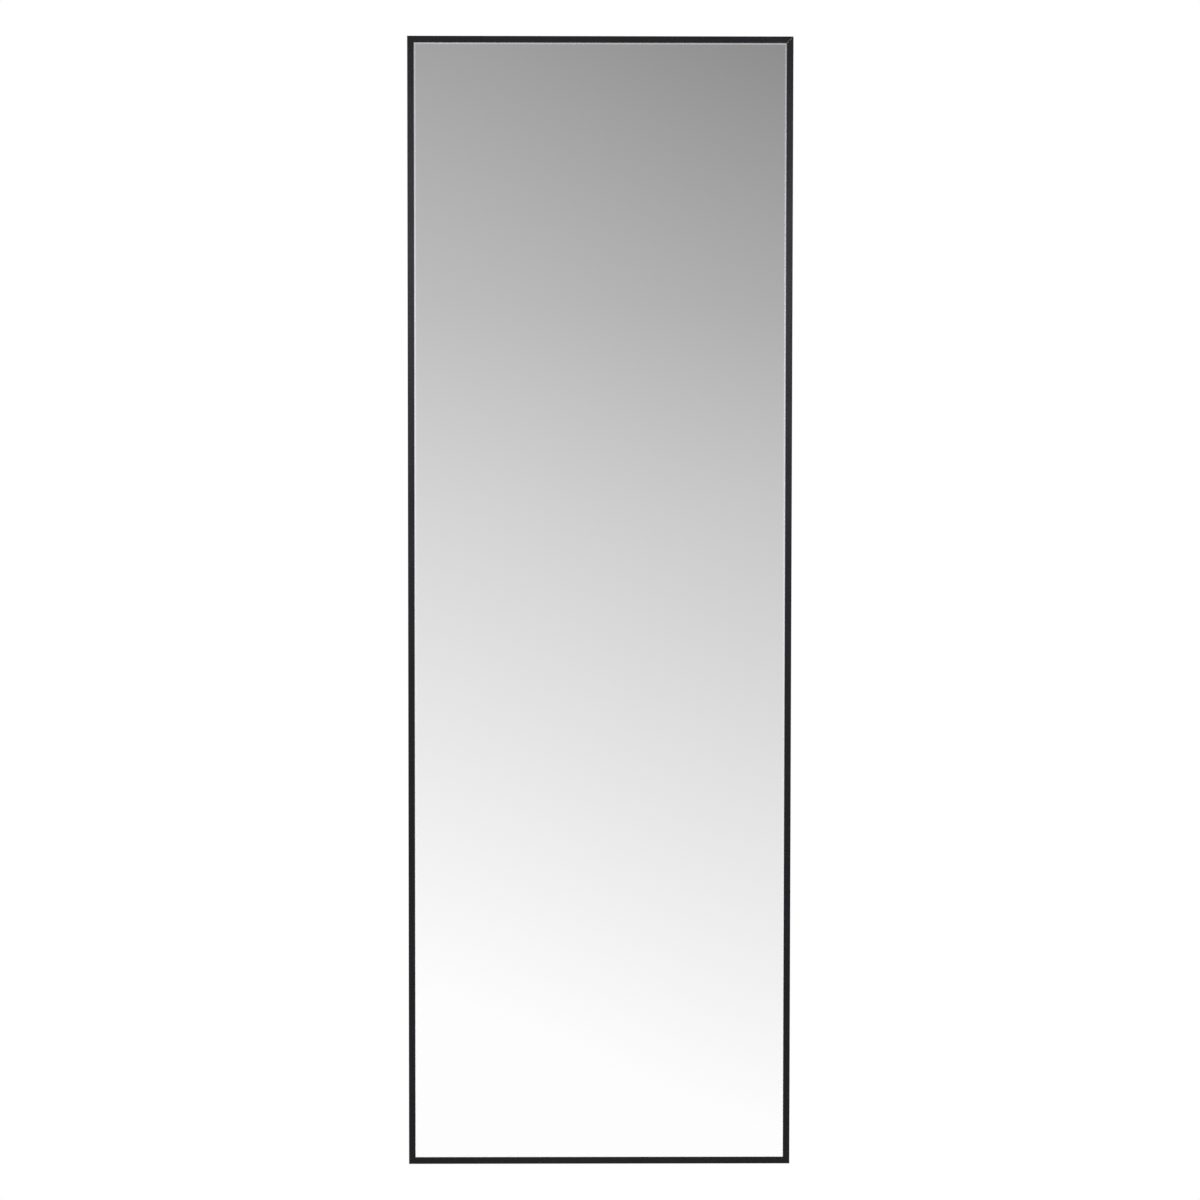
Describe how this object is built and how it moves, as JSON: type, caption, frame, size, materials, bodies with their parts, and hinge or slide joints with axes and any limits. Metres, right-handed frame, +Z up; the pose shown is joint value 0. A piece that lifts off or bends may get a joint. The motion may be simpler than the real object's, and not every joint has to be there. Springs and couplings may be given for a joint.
{
  "type": "full-length wall mirror",
  "caption": "Full-length wall mirror: a tall silvered pane in a slim black mitred aluminium frame, with a backing board, wall bumpers and swinging rings to hang it by.",
  "frame": {"origin": "on the wall plane behind the mirror, midway between the pivots of the two hanging rings, 250 mm below the top of the frame", "axes": "+X to the right as seen from the front, +Y from the mirror into the wall, +Z up; the glass faces -Y"},
  "size_m": [0.56, 0.0285, 1.65],
  "materials": {
    "black_aluminium": "satin",
    "silvered_glass": "polished",
    "safety_film": "satin",
    "hardboard": "matte",
    "clear_plastic": "satin",
    "zinc_steel": "satin",
    "spring_steel": "satin",
    "nickel_steel": "polished",
    "black_rubber": "matte"
  },
  "bodies": {
    "frame": {"top_rail": "black_aluminium", "bottom_rail": "black_aluminium", "left_stile": "black_aluminium", "right_stile": "black_aluminium", "mirror_glass": "silvered_glass", "safety_film": "safety_film", "backing_board": "hardboard", "setting_blocks": "clear_plastic", "left_springs": "spring_steel", "right_springs": "spring_steel", "top_springs": "spring_steel", "bottom_springs": "spring_steel", "top_left_key": "zinc_steel", "top_right_key": "zinc_steel", "bottom_left_key": "zinc_steel", "bottom_right_key": "zinc_steel", "top_left_shim": "zinc_steel", "top_right_shim": "zinc_steel", "bottom_left_shim": "zinc_steel", "bottom_right_shim": "zinc_steel", "top_left_set_screws": "zinc_steel", "top_right_set_screws": "zinc_steel", "bottom_left_set_screws": "zinc_steel", "bottom_right_set_screws": "zinc_steel", "left_slide_nut": "zinc_steel", "right_slide_nut": "zinc_steel", "left_hanger_strap": "nickel_steel", "right_hanger_strap": "nickel_steel", "left_hanger_screw": "zinc_steel", "right_hanger_screw": "zinc_steel", "top_left_bumper": "black_rubber", "top_right_bumper": "black_rubber", "bottom_left_bumper": "black_rubber", "bottom_right_bumper": "black_rubber"},
    "left_ring": {"left_hanging_ring": "nickel_steel"},
    "right_ring": {"right_hanging_ring": "nickel_steel"}
  },
  "joints": [
    {"name": "left_ring_swing", "type": "hinge", "parent": "frame", "child": "left_ring", "pos_m": [-0.2705, -0.0037, 0], "axis": [1, 0, 0], "range_deg": [0, 180]},
    {"name": "right_ring_swing", "type": "hinge", "parent": "frame", "child": "right_ring", "pos_m": [0.2705, -0.0037, 0], "axis": [1, 0, 0], "range_deg": [0, 180]}
  ]
}
